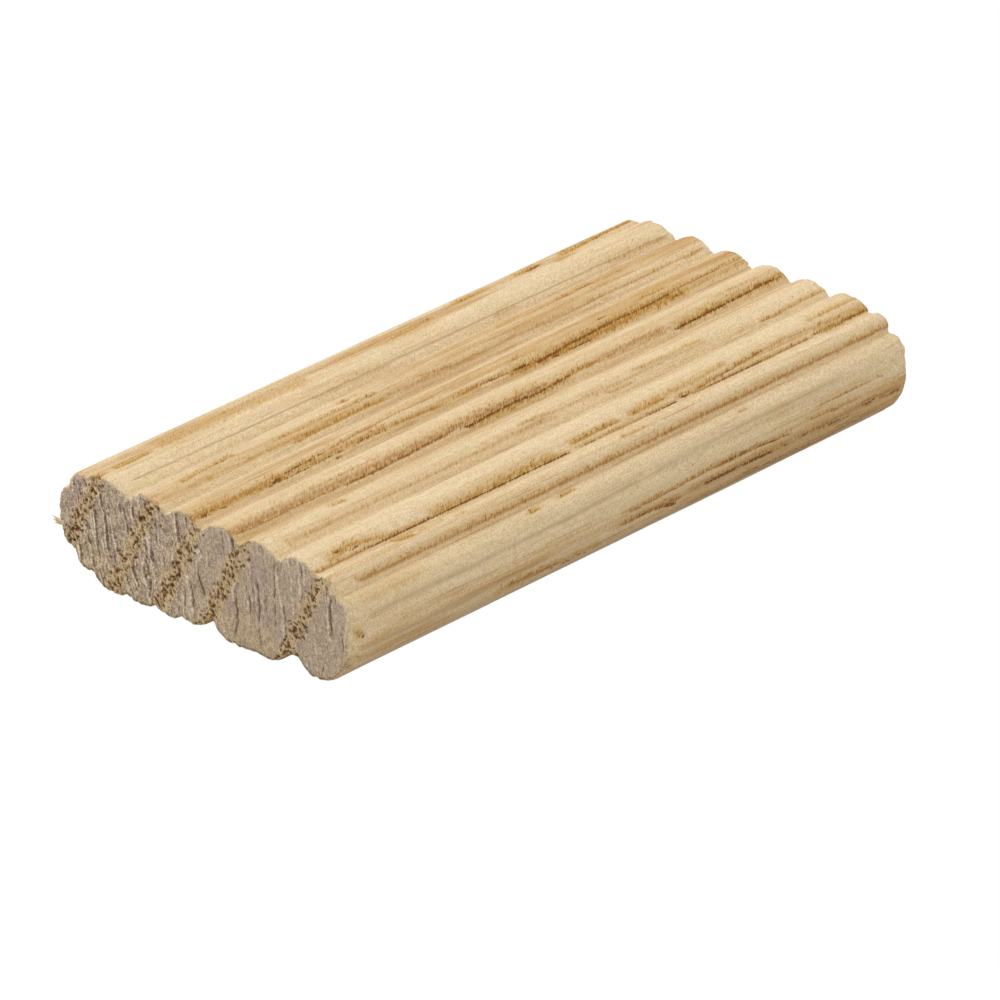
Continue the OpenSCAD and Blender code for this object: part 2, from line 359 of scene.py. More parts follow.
    ("gold", 0.2, 0.4, [(-1.5, 4.1), (3, 4.1)]),
    ("gold", 0.18, 0.6, [(-23.1, 5.1), (-21.3, 5.1)]),
    ("brown", 0.2, 0.4, [(-24, 1.9), (-14, 1.8)]),
    ("brown", 0.25, 0.35, [(24, 1.6), (31.6, 1.6)]),
    ("dark", 0.09, 0.8, [(-2.6, 1.5), (-2.3, 1.3)]),
    ("grey", 0.3, 0.3, [(-28, 0.9), (-26.5, 0.9)]),
    ("brown", 0.45, 0.35, [(-30, 6.9), (-20, 6.9), (-10, 6.9), (0, 6.6)]),
    ("brown", 0.4, 0.35, [(0, 6.4), (8, 6.5), (18, 6.5)]),
    ("grey", 0.12, 0.45, [(-20, 7), (-14, 7), (-9, 6.9)]),
    ("brown", 0.12, 0.45, [(-8, 7.1), (-3, 7.1), (0, 7.1)]),
    ("brown", 0.11, 0.6, [(-3, 6.1), (0, 6.2)]),
    ("brown", 0.1, 0.6, [(5.4, 7.3), (8.5, 7.3)]),
    ("gold", 0.1, 0.6, [(10, 6.1), (14, 6.1), (18, 6.1)]),
    ("brown", 0.13, 0.7, [(23.5, 7.4), (26, 7.45)]),
    ("gold", 0.14, 0.6, [(26, 7.3), (29, 7.2), (31.4, 7.2)]),
    ("gold", 0.45, 0.3, [(-27.4, 6.9), (-25, 6.9)]),
    ("grey", 0.07, 0.85, [(-17.5, 8.5), (-15, 8.3), (-12, 8.2), (-9, 8.2), (-5.5, 8.05)]),
    ("grey", 0.15, 0.35, [(-2, 8.1), (0, 8.2)]),
    ("gold", 0.22, 0.8, [(-3, 11.2), (0, 11.1), (2.8, 11.1)]),
    ("dark", 0.1, 0.4, [(0, 11.2), (2.8, 11.15)]),
    ("gold", 0.26, 0.85, [(4, 11.1), (6, 11), (8, 10.9)]),
    ("gold", 0.3, 0.5, [(8, 10.8), (12, 10.6), (16, 10.4)]),
    ("brown", 0.12, 0.8, [(9, 12), (11, 11.75), (14, 11.4), (16, 11.3)]),
    ("dark", 0.1, 0.6, [(12, 11.7), (16, 11.3)]),
    ("brown", 0.16, 0.85, [(16, 11.25), (18, 11.05), (19.5, 10.95)]),
    ("dark", 0.12, 0.6, [(18, 11.05), (19.4, 10.95)]),
    ("brown", 0.12, 0.6, [(19.5, 10.95), (22, 10.75), (24, 10.9), (26, 11), (28, 11)]),
    ("gold", 0.4, 0.4, [(16, 11.3), (24, 11.2), (31.5, 11.2)]),
    ("gold", 0.3, 0.45, [(26, 10), (32, 9.9)]),
    ("dark", 0.15, 0.85, [(26.5, 11), (26.45, 11.4), (26.7, 11.8)]),
    ("gold", 0.45, 0.55, [(-30, 11.4), (-27, 10.5), (-25, 11.2), (-23.4, 11.8)]),
    ("gold", 0.33, 1, [(-28.6, 10.75), (-28.2, 10.6)]),
    ("dark", 0.2, 0.8, [(-28.55, 10.75), (-28.25, 10.6)]),
    ("dark", 0.14, 0.7, [(-27.6, 11.3), (-26.8, 11.15), (-26.4, 11)]),
    ("dark", 0.16, 0.75, [(-26.6, 11.75), (-25.9, 11.7)]),
    ("brown", 0.14, 0.8, [(-32, 12), (-28, 11.95), (-24, 11.9), (-20, 12)]),
    ("dark", 0.09, 0.7, [(-26, 11.9), (-22, 11.95), (-18, 11.95)]),
    ("gold", 0.45, 0.6, [(-19, 11.7), (-12, 11.6), (-5, 11.6)]),
    ("dark", 0.11, 0.95, [(-18, 11.95), (-14, 12), (-10, 12), (-6, 12)]),
    ("dark", 0.11, 0.85, [(-6, 12), (-4, 12)]),
    ("dark", 0.1, 0.8, [(-3, 12), (-1, 12)]),
    ("brown", 0.12, 0.7, [(-1, 12), (5, 12.1)]),
    ("dark", 0.1, 0.95, [(5, 12.1), (6.4, 12.15), (8.2, 12.1)]),
    ("dark", 0.16, 1, [(8.8, 12), (9.8, 11.85)]),
    ("brown", 0.12, 0.85, [(10, 12.1), (16, 12.15), (24, 12.1)]),
    ("dark", 0.08, 0.6, [(12, 12.1), (18, 12.15)]),
    ("dark", 0.1, 0.8, [(24.4, 12.1), (25, 11.9)]),
    ("gold", 0.3, 0.9, [(25, 12), (28, 12), (31.5, 12)]),
    ("dark", 0.13, 0.7, [(26.5, 12.1), (29, 12), (31.5, 12.1)]),
    ("gold", 0.2, 0.95, [(-24.3, 12.7), (-23.3, 12.85), (-22.3, 12.9)]),
    ("gold", 0.15, 0.4, [(-22, 12.8), (-18.6, 12.8)]),
    ("gold", 0.2, 0.5, [(0.6, 13.3), (3.6, 13.3)]),
    ("gold", 0.15, 0.4, [(-9, 13.5), (-8.3, 13.4)]),
    ("gold", 0.2, 0.4, [(-18, 13.2), (-17, 13)]),
]

# The same along the right side, with points (y, up). Their sheet leans up going inwards.
SIDE_LEAN = (0.726, 1.094)      # how far it moves up and along for each mm inwards
SIDE_AT = SIDE - 0.2
SIDE_LINES = [
    ("brown", 0.14, 0.8, [(-14.5, 2.9), (-9, 2.75)]),
    ("dark", 0.07, 0.6, [(-10, 2.55), (-4.2, 2.6)]),
    ("gold", 0.3, 0.4, [(-16, 2.8), (-4, 2.7)]),
    ("brown", 0.16, 0.7, [(-2, 3.35), (2, 3.4), (5, 3.3)]),
    ("dark", 0.1, 0.8, [(-0.5, 3.4), (2.6, 3.3)]),
    ("dark", 0.17, 1, [(3.0, 3.15), (3.6, 3.1), (4.3, 3.05)]),
    ("brown", 0.3, 0.3, [(-2, 4.3), (8, 4.4), (20, 4.5)]),
    ("brown", 0.1, 0.8, [(-1, 4.1), (6, 4.3), (12, 4.6)]),
    ("brown", 0.1, 0.8, [(9, 4.35), (14, 4.3), (18, 4.1)]),
    ("dark", 0.09, 0.7, [(10, 4.5), (12.6, 4.45)]),
    ("dark", 0.08, 0.7, [(13.8, 4.35), (16.5, 4.2)]),
    ("dark", 0.12, 0.95, [(7.6, 3.4), (11.8, 3.5)]),
    ("dark", 0.13, 0.95, [(12.2, 3.4), (15.6, 3.35)]),
    ("dark", 0.1, 0.8, [(16.8, 3.5), (17.6, 3.2)]),
    ("dark", 0.09, 0.75, [(18.6, 3.4), (21.6, 3.35)]),
    ("dark", 0.09, 0.8, [(21.8, 3.3), (24.8, 3.15)]),
    ("brown", 0.45, 0.4, [(6, 3.4), (14, 3.4), (31, 3.6)]),
    ("dark", 0.12, 0.85, [(26.6, 3.5), (28, 3.55)]),
    ("dark", 0.1, 0.8, [(28.6, 3.3), (31, 3.35)]),
    ("dark", 0.09, 0.7, [(27.8, 5.2), (29, 5.25)]),
    ("brown", 0.12, 0.6, [(21, 5.3), (27.5, 5.3)]),
    ("brown", 0.1, 0.6, [(20, 4.5), (26, 4.3)]),
    ("dark", 0.08, 0.7, [(22.6, 4.3), (23.6, 4.25)]),
    ("brown", 0.12, 0.6, [(6, 2.4), (20, 2.3), (28, 2.5)]),
    ("dark", 0.08, 0.6, [(12, 2.6), (19, 2.5)]),
    ("grey", 0.35, 0.45, [(-30, 6.1), (-20, 6), (-8, 6.1), (0, 6.5)]),
    ("grey", 0.4, 0.4, [(2, 6.6), (12, 6.9), (24, 6.8)]),
    ("grey", 0.3, 0.4, [(-31, 3.6), (-20, 3.4), (-10, 3.6)]),
    ("gold", 0.5, 0.3, [(-31, 7.6), (-24, 7.5)]),
    ("dark", 0.16, 0.75, [(-31.2, 4.7), (-30.5, 4.6)]),
    ("brown", 0.25, 0.6, [(-31.6, 5.3), (-30.5, 4.6)]),
    ("gold", 0.12, 0.9, [(-12.4, 8.1), (-11, 8.15)]),
    ("dark", 0.07, 0.6, [(-12.2, 8.1), (-11.7, 8.1)]),
    ("gold", 0.11, 0.8, [(-9, 8.25), (-7, 8.3)]),
    ("brown", 0.1, 0.6, [(11.6, 8.05), (12.8, 8.0)]),
]


def stroke_strength(lines, stain, along, across, widen=1.0):
    """How strongly lines of one stain mark each point: across a line a bell curve, along
    it a steady strength that fades out over its last half millimetre."""
    mark = np.zeros_like(along)
    for kind, half, strength, points in lines:
        if kind != stain:
            continue
        at, middle = np.array(points).T
        ends = (step(along, at[0] - 0.3, at[0] + 0.2)
                * (1 - step(along, at[-1] - 0.2, at[-1] + 0.3)))
        off = (across - np.interp(along, at, middle)) / (half * widen)
        mark = np.maximum(mark, strength * ends * np.exp(-off ** 2))
    return mark


def line_strength(x, y, z, stain, widen=1.0):
    """The marks of one stain on the upper face and on the right side, each looked up
    along the sheet that the lines lie in. The upper ones fade out where the beads round
    over, and the side's own begin at the shoulder."""
    waver = 0.05 * relief(y, x, 0.7, 3, 21)
    deep, inwards = SHEET_TOP - z, SIDE_AT - x
    upper = stroke_strength(VESSEL_LINES, stain, y - SHEET_LEAN[1] * deep,
                            x + SHEET_LEAN[0] * deep + waver, widen)
    side = stroke_strength(SIDE_LINES, stain, y - SIDE_LEAN[1] * inwards,
                           z + SIDE_LEAN[0] * inwards + waver, widen)
    on_top, on_side = step(z, 7.2, 7.8) * (x < 13.9), (x > 13.6) * (z > 1)
    return np.maximum(upper * on_top, side * on_side)


# ---------------------------------------------------------------- sawn ends

# The broadest crests and crevices of the near end, each raised or sunk in the relief and
# also painted, a crest as a highlight and a crevice as shade. Each has its kind, its half
# width in mm, its strength and the points (z, x) that it runs through.
END_LINES = [
    ("crest", 0.07, 0.8, [(5.4, -8.3), (6.2, -8.4), (6.8, -8.7), (8.2, -8.75)]),
    ("crevice", 0.08, 0.8, [(5.2, -8.1), (6.0, -8.2), (6.7, -8.5), (7.6, -8.6)]),
    ("crest", 0.06, 0.6, [(5.0, -10.1), (5.6, -10.2), (7.0, -10.4)]),
    ("crevice", 0.06, 0.5, [(5.0, -10.0), (7.0, -10.3)]),
    ("crest", 0.06, 0.6, [(7.0, -7.75), (8.2, -7.8)]),
    ("crevice", 0.06, 0.5, [(5.5, -5.15), (8.2, -5.2)]),
    ("crest", 0.06, 0.6, [(5.5, -5.0), (8.3, -5.05)]),
    ("crest", 0.05, 0.5, [(5.5, -4.6), (7.5, -4.6)]),
    ("crevice", 0.05, 0.5, [(5.5, -4.35), (7.5, -4.3)]),
    ("crest", 0.07, 0.8, [(1.2, -6.0), (2.5, -6.0), (3.2, -6.25), (4, -6.6)]),
    ("crevice", 0.08, 0.8, [(1.2, -5.85), (2.5, -5.85), (3.2, -6.1), (4, -6.4)]),
    ("crest", 0.09, 1, [(1.4, -1.4), (2.6, -1.6), (4, -2.0)]),
    ("crevice", 0.08, 0.9, [(1.4, -1.25), (2.6, -1.4), (3.6, -1.8)]),
    ("crevice", 0.1, 0.9, [(3, -0.2), (3.6, -0.45), (4.6, -0.9)]),
    ("crevice", 0.07, 0.7, [(1.5, -11.7), (2.2, -11.85)]),
    ("crest", 0.06, 0.6, [(1.8, -12.0), (2.6, -12.1)]),
    ("crevice", 0.05, 0.7, [(2.2, -9.65), (3.4, -9.7)]),
    ("crest", 0.06, 0.6, [(3.2, -10.7), (4.2, -10.9)]),
    ("crest", 0.06, 0.5, [(4, -11.9), (5.3, -12.0)]),
    ("crevice", 0.09, 0.8, [(7.6, 2.7), (8.2, 2.9), (9, 2.75)]),
    ("crest", 0.06, 0.6, [(7.6, 2.5), (8.6, 2.7)]),
    ("crevice", 0.05, 0.5, [(7, 1.85), (9, 1.7)]),
    ("crevice", 0.06, 0.8, [(2.3, 7.2), (5.5, 7.1), (8.8, 7.15)]),
    ("crest", 0.07, 0.8, [(2, 8.15), (4, 8.0), (5, 7.8), (6, 7.7), (8, 7.4)]),
    ("crevice", 0.07, 0.8, [(1.6, 8.3), (4, 8.15), (5, 7.95)]),
    ("crest", 0.07, 0.8, [(5.4, 9.8), (7, 9.75), (9, 9.6)]),
    ("crevice", 0.06, 0.6, [(5.4, 10.0), (7, 9.95), (9, 9.8)]),
    ("crest", 0.05, 0.5, [(7, 10.2), (9, 10.2)]),
    ("crest", 0.06, 0.6, [(3, 4.4), (5, 4.3)]),
    ("crevice", 0.07, 0.8, [(3, 4.55), (4.4, 4.5), (5.2, 4.2)]),
    ("crevice", 0.07, 0.8, [(1, 5.8), (2, 5.5), (4, 5.5), (6, 5.3)]),
    ("crest", 0.05, 0.5, [(3, 5.35), (6, 5.15)]),
    ("crevice", 0.09, 1, [(1, 3.2), (2, 3.25), (3.6, 3.05)]),
    ("crevice", 0.09, 0.6, [(4, 13.0), (5, 12.8), (7.2, 12.85)]),
    ("crest", 0.07, 0.6, [(3.6, 12.8), (5, 12.6), (7.2, 12.65)]),
    ("crevice", 0.06, 0.4, [(3, 14.2), (5, 14.0)]),
]

PORES_IN_BAND = 165
PORE_RADIUS = (0.045, 0.07)     # of the smallest, and how much more the largest has
PORE_REACH = 0.6                # how far from its middle a pore is worked out
PORE_DEPTH = 0.14
SAWN_IN = 0.06                  # how far the saw cut lies inside the bar's length
SOFT_IN = 0.05                  # how much further in the soft earlywood lies
FLAKE_DEPTH = {"near": 0.36, "far": 0.1}

# The two sets of flakes: their pitch in mm, how high they stand at the left, how much
# less they stand at the right, and the seed of their wavering.
FLAKES = [(1.15, 0.72, 0.36, 43), (0.62, 0.55, 0.3, 46)]


def pores(x, z):
    """How deep each point of an end lies in an open pore, from 0 to 1. The pores are
    ellipses strewn over the earlywood bands, each turned its own way."""
    rng = np.random.default_rng(51)
    count = PORES_IN_BAND * len(BANDS)
    band = np.repeat(BANDS, PORES_IN_BAND, axis=0)
    pore_z = rng.uniform(0.1, THICK, count)
    spread = band[:, 2] * rng.normal(0, 0.55, count)
    pore_x = band[:, 0] + RING_LEAN * (pore_z - RING_TOP) + spread
    radius = PORE_RADIUS[0] + PORE_RADIUS[1] * rng.random(count) ** 2
    turn = rng.normal(0.9, 0.6, count)
    depth = np.zeros_like(x)
    for px, pz, r, a in zip(pore_x, pore_z, radius, turn):
        near_by = (np.abs(x - px) < PORE_REACH) & (np.abs(z - pz) < PORE_REACH)
        dx, dz = x[near_by] - px, z[near_by] - pz
        along, across = dx * np.cos(a) + dz * np.sin(a), dz * np.cos(a) - dx * np.sin(a)
        far_out = np.hypot(along / (1.5 * r), across / r)
        depth[near_by] = np.maximum(depth[near_by], 1 - step(far_out, 0.6, 1.3))
    return depth


def flakes(x, z):
    """The crushed rays: thin flakes that run down the end and drift to the right. Each
    rises slowly from left to right and drops back sharply, so that its crest shows as a
    light line with a dark one beside it. They are narrow on the left and broad on the
    right. Returns how far they stand up, and the painted light and shade along them:
    above 0 a painted highlight on a crest, below 0 painted shade in a crevice."""
    broad = step(x, -3, 1)
    place = x + (0.25 - 0.15 * broad) * z
    place = place + 0.35 * relief(x, z, 2.1, 3.3, 41) + 0.12 * relief(x, z, 0.6, 0.9, 42)
    height, lines = 0, 0
    for pitch, left, less, seed in FLAKES:
        phase = place / pitch + 0.5 * relief(place, z, 1.9, 7, seed)
        rise = phase - np.floor(phase)
        worn = step(relief(place, z, 1.1 * pitch, 2.0 * pitch, seed + 1), -0.2, 0.5)
        amount = (left - less * broad) * worn
        slope = (0.3 * rise + 0.7 * rise ** 4) * (1 - step(rise, 0.84, 0.97))
        height = height + amount * slope
        lit = step(rise, 0.58, 0.78) * (1 - step(rise, 0.78, 0.88))
        shade = step(rise, 0.8, 0.9) * (1 - step(rise, 0.95, 1.0))
        lines = lines + amount * (lit - 1.2 * shade)
    waver = 0.06 * relief(x, z, 0.5, 0.5, 48)
    drawn = (stroke_strength(END_LINES, "crest", z, x + waver, 1.1)
             - stroke_strength(END_LINES, "crevice", z, x + waver, 1.1))
    height, lines = height + 0.4 * drawn, lines * (1 - 0.5 * np.abs(drawn)) + 1.1 * drawn
    return height + 0.12 * relief(place, z, 0.22, 0.5, 45), lines


def inward(x, z, end):
    """How far in an end face lies at (x, z): sawn square, lowered by crevices and pores."""
    soft = earlywood(x, np.full_like(x, END_AT[end]), z)
    deep = FLAKE_DEPTH[end] * (0.55 - flakes(x, z)[0]) * (1 - 0.6 * soft)
    sawn = (SAWN_IN + deep * step(z, 0.5, 3)).clip(-0.05)
    return sawn + PORE_DEPTH * pores(x, z) + SOFT_IN * soft


# ---------------------------------------------------------------- the bar

# Where a groove wanders across the bar: its place, and how far off it lies at the near
# and at the far end.
GROOVE_DRIFT = [(-8.45, 0.4, -0.1), (-4.45, 0.3, -0.1), (11.55, 0.0, 0.3)]
DRIFT_REACH = 1.6               # how far to each side of a groove the face moves with it
LINE_DEPTH = {"dark": 0.09, "gold": 0.05}
SWELL_DEPTH, RIPPLE_DEPTH = 0.025, 0.014
ARRIS_WEAR, FRAY = 0.1, 0.09
RIGHT_WEAR = 0.4                # how much more the right of the near end is worn
END_REACH = 0.9                 # how far along the bar an end's relief still pulls the skin
CAP_ROWS = {"near": 70, "far": 8}
ARRIS_ROWS = [0, 0.1, 0.25, 0.5]
MIDDLE_ROWS = 101
# Which point of the lower half each point of the upper half stands over.
LOWER_PARTNER = np.maximum(UPPER_COLUMNS + LOWER_COLUMNS - np.arange(2, UPPER_COLUMNS + 1) // 2,
                           UPPER_COLUMNS + 1)


def along_rows():
    """Places of the rows along the bar: close together at both ends, even between."""
    start = np.array(ARRIS_ROWS)
    middle = np.linspace(END_REACH, LENGTH - END_REACH, MIDDLE_ROWS)
    return np.concatenate([start, middle, LENGTH - start[::-1]]) + NEAR


def skin():
    """The long faces: the section carried along the grain. Its grooves drift a little,
    its beads are a touch uneven along the bar, torn vessel lines sink below it, and at
    both ends the arris is worn and frayed, most of all on the right."""
    ring, out = section()
    y = along_rows()[:, None]
    x0, z0 = ring[:, 0][None], ring[:, 1][None]
    far = (y - NEAR) / LENGTH
    drift = sum(np.exp(-((x0 - at) / DRIFT_REACH) ** 2) * (near_by + (far_by - near_by) * far)
                for at, near_by, far_by in GROOVE_DRIFT)
    x = x0 + drift * step(z0, 6.5, 8)
    y = np.broadcast_to(y, x.shape)
    z = np.broadcast_to(z0, x.shape)

    run = np.cumsum(np.hypot(*(ring - np.roll(ring, 1, 0)).T))[None]
    torn = line_strength(x, y, z, "dark") * (0.6 + 0.4 * relief(run, y, 0.25, 1.2, 31))
    sink = LINE_DEPTH["dark"] * torn
    sink += LINE_DEPTH["gold"] * line_strength(x, y, z, "gold")
    sink += SWELL_DEPTH * (1 + relief(run, y, 1.5, 14, 32))
    sink += RIPPLE_DEPTH * (1 + relief(run, y, 0.33, 4, 33))
    edge = np.minimum(y - NEAR, FAR - y)
    right = step(x, 13.4, 15.2) * (y < 0)
    worn = ARRIS_WEAR + RIGHT_WEAR * right + FRAY * relief(run, y * 0, 0.55, 9, 35)
    worn += FRAY * relief(run, y, 0.24, 9, 36) * (y < 0)
    sink += worn * (1 - step(edge, 0, 0.45 + 0.9 * right)) ** 2
    x, z = x - sink * out[:, 0], z - sink * out[:, 1]
    y = y + (inward(x[:1], z[:1], "near") * (1 - step(y - NEAR, 0, END_REACH))
             - inward(x[-1:], z[-1:], "far") * (1 - step(FAR - y, 0, END_REACH)))
    return np.stack([x, y, np.clip(z, 0, THICK)], -1)


def cap(rim, rows, end):
    """An end face: straight lines from each point of the upper half of the rim to its
    partner below, without the rim's own points. Returns the points, how far within the
    end each of them is, which is less close to the upper rim, and how much painted shade
    each takes along the lower rim."""
    top, low = rim[1:UPPER_COLUMNS], rim[LOWER_PARTNER]
    v = np.linspace(0, 1, rows + 1)[1:-1, None, None]
    grid = top * (1 - v) + low * v
    x, z = grid[..., 0], grid[..., 2]
    grid[..., 1] = NEAR + inward(x, z, end) if end == "near" else FAR - inward(x, z, end)
    tall = np.abs(top - low)[..., 2]
    from_top, from_foot = v[..., 0] * tall, (1 - v[..., 0]) * tall
    return grid, 0.25 + 0.75 * step(from_top, 0, 0.45), 1 - step(from_foot, 0.05, 0.3)


def bar_mesh():
    """Skin and both caps as one closed mesh. Returns its points, its quads, how far each
    point is within an end face, and how much painted shade it takes along an end's lower
    rim, both 0 on the skin."""
    grid = skin()
    rows, columns, _ = grid.shape
    on_skin = np.zeros(rows * columns)
    points, within, rim_shade = [grid.reshape(-1, 3)], [on_skin], [on_skin]
    index = np.arange(rows * columns).reshape(rows, columns)
    a, b = index[:-1], index[1:]
    quads = [np.stack([a, b, np.roll(b, -1, 1), np.roll(a, -1, 1)], -1).reshape(-1, 4)]
    for end, row in (("near", 0), ("far", rows - 1)):
        inner, inside, cap_rim_shade = cap(grid[row], CAP_ROWS[end], end)
        within.append(inside.ravel())
        rim_shade.append(cap_rim_shade.ravel())
        first = sum(len(p) for p in points)
        points.append(inner.reshape(-1, 3))
        rim = index[row]
        body = first + np.arange(inner.shape[0] * inner.shape[1]).reshape(inner.shape[:2])
        lines = np.vstack([rim[1:UPPER_COLUMNS], body, rim[LOWER_PARTNER]])
        sheet = np.hstack([np.full((len(lines), 1), rim[0]), lines,
                           np.full((len(lines), 1), rim[UPPER_COLUMNS])])
        a, b = sheet[:-1], sheet[1:]
        face = np.stack([a[:, :-1], a[:, 1:], b[:, 1:], b[:, :-1]], -1).reshape(-1, 4)
        quads.append(face if end == "near" else face[:, ::-1])
    return np.vstack(points), np.vstack(quads), np.concatenate(within), np.concatenate(rim_shade)


# ---------------------------------------------------------------- material

# Colours of bare ash: latewood and earlywood, the stains of torn and open vessels, and
# the sawn ends, where CREST_HIGHLIGHT is a painted highlight along the flakes' crests and
# CREVICE_SHADE painted shade in the crevices between them.
CREAM, TAN, HALO, STRAW = "#EED8B3", "#D1AB74", "#CFA766", "#F0DA9E"
GREY_LINE, BROWN, GOLD, DARK, UMBER = "#A98A5E", "#AC7638", "#C09038", "#8E581B", "#673C0E"
TAUPE, MAUVE, OLIVE, CREST_HIGHLIGHT, CREVICE_SHADE = "#C6B199", "#C0AA99", "#CAB48F", "#E9DDC8", "#58432D"
EARLY_TAN, PORE, PORE_SOFT = "#D3B68B", "#54310F", "#8E6538"

# What the finest relief does to the light, as shares of red, green and blue, from its
# hollows to its tips; and the wood's turns of hue, from pinker to yellower.
FURRED = (0.79, 0.73, 0.62), (1.08, 1.09, 1.1)
SAWN = (0.56, 0.52, 0.46), (1.4, 1.4, 1.4)
HUES = (1.012, 0.992, 1.0), (0.995, 1.0, 0.955)

BUMP_LONG, BUMP_END = 0.05, 0.16        # height of each finish's relief in mm

# Patterns in the long faces: the size of a cell in mm across, along and up, how far it
# is turned about each of them in degrees, and how many levels of detail it has.
LONG_PATTERNS = {
    # bundles of fibres; a fibre is 0.02 mm thick, and is drawn at 0.24 mm to show
    "fibre": ((0.24, 5, 0.24), (0, 0, 0), 2),
    # streaks of colour, two or three rows of vessels wide
    "streak": ((0.6, 13, 0.6), (0, 0, 0), 3),
    # lighter and darker years, about half a growth ring wide
    "broad": ((1.4, 26, 1.4), (0, 0, 0), 2),
    # short clouds of warmer wood
    "patch": ((2.0, 4.5, 2.0), (0, 0, 0), 3),
    # torn fibre ends that stand across the grain, 0.03 mm thick and drawn at 0.12 mm
    "hatch": ((0.12, 0.5, 0.3), (0, 0, 42), 1),
    # fibres lifted and pressed flat again by the knives, in spots under 1 mm long
    "mottle": ((0.4, 0.75, 0.4), (0, 0, 0), 2),
    # turns of hue, some 2 mm long
    "blush": ((0.9, 2.4, 0.9), (0, 0, 0), 2),
    # single fibre ends, 0.02 mm thick and drawn at 0.11 mm to show
    "speck": ((0.11, 0.13, 0.11), (0, 0, 0), 1),
    # single rows of vessels, 0.15 mm wide
    "thread": ((0.15, 9, 0.15), (0, 0, 0), 2),
    # vessels cut open, 0.2 mm wide and 2 to 3 mm long
    "dash": ((0.2, 2.4, 0.2), (0, 0, 0), 1),
}
LONG_MARKS = ["earlywood", "tan", "gold", "brown", "dark", "grey", "halo", "lit"]

# Patterns in the ends. They reach 50 mm along the grain, so that they don't change as
# the end's relief goes in and out.
END_PATTERNS = {
    # ends of fibres crushed by the saw, 0.02 mm thick and drawn at 0.12 mm to show
    "speck": ((0.12, 50, 0.14), (0, 0, 0), 1),
    # bundles of them, which lean as the flakes do
    "coarse": ((0.22, 50, 0.42), (0, -12, 0), 2),
    # clouds of more olive and of more mauve wood
    "cloud": ((2.2, 50, 3.0), (0, 0, 0), 2),
    "tint": ((3.1, 50, 3.7), (0, 0, 0), 2),
}
END_MARKS = ["earlywood", "pore", "crest"]


def colour(text):
    """An sRGB hex colour as linear RGBA."""
    c = np.array([int(text[i:i + 2], 16) for i in (1, 3, 5)]) / 255
    c = np.where(c <= 0.04045, c / 12.92, ((c + 0.055) / 1.055) ** 2.4)
    return (*c.tolist(), 1.0)


def add(tree, kind, sockets=None, **settings):
    """Adds a node with its settings. Each of its sockets is given a value, or the output
    that feeds it."""
    node = tree.nodes.new("ShaderNode" + kind)
    for name, value in settings.items():
        setattr(node, name, value)
    for socket, value in (sockets or {}).items():
        if isinstance(value, bpy.types.NodeSocket):
            tree.links.new(value, node.inputs[socket])
        else:
            node.inputs[socket].default_value = value
    return node


def wood_fields(tree, coords, patterns, marks):
    """What a finish is mixed from, by name: noise in cells of each pattern's size, and
    the marks that the mesh carries at its points."""
    fields = {name: add(tree, "Attribute", attribute_name=name).outputs["Fac"] for name in marks}
    for name, (cell, turn, detail) in patterns.items():
        cells = add(tree, "Mapping", {0: coords, 2: [math.radians(t) for t in turn],
                                      3: [size * MM for size in cell]}, vector_type="TEXTURE")
        noise = add(tree, "TexNoise", {"Vector": cells.outputs[0], "Scale": 1.0,
                                       "Detail": detail, "Roughness": 0.55})
        fields[name] = noise.outputs[0]
    return fields


def weighed(tree, fields, start=0.0, **weights):
    """A number plus the fields, each times its own weight."""
    for name, weight in weights.items():
        start = add(tree, "Math", {0: fields[name], 1: weight, 2: start},
                    operation="MULTIPLY_ADD").outputs[0]
    return start


def shown(tree, fields, *factors):
    """How much of a coat shows: the product of its factors. Each is a number, a field's
    name, or a field's name with the values between which an S curve takes it from 0 to
    1, or to the two amounts that follow them."""
    product = 1.0
    for factor in factors:
        if isinstance(factor, str):
            factor = fields[factor]
        elif isinstance(factor, tuple):
            name, low, high, *amounts = factor
            least, most = amounts or (0.0, 1.0)
            factor = add(tree, "MapRange", {0: fields[name], 1: low, 2: high, 3: least, 4: most},
                         interpolation_type="SMOOTHSTEP").outputs[0]
        product = add(tree, "Math", {0: product, 1: factor}, operation="MULTIPLY").outputs[0]
    return product


def coated(tree, fields, below, coats):
    """A colour with coats of others laid over it. Each coat has its colour, and the
    factors that say how much of it shows."""
    for stain, *factors in coats:
        below = add(tree, "Mix", {0: shown(tree, fields, *factors), 6: below, 7: colour(stain)},
                    data_type="RGBA").outputs[2]
    return below


def toned(tree, below, share, tones):
    """A colour multiplied by shares of red, green and blue, from the first tones to the
    second."""
    first, second = tones
    tone = add(tree, "Mix", {0: share, 6: (*first, 1), 7: (*second, 1)}, data_type="RGBA")
    return add(tree, "Mix", {0: 1.0, 6: below, 7: tone.outputs[2]},
               data_type="RGBA", blend_type="MULTIPLY").outputs[2]


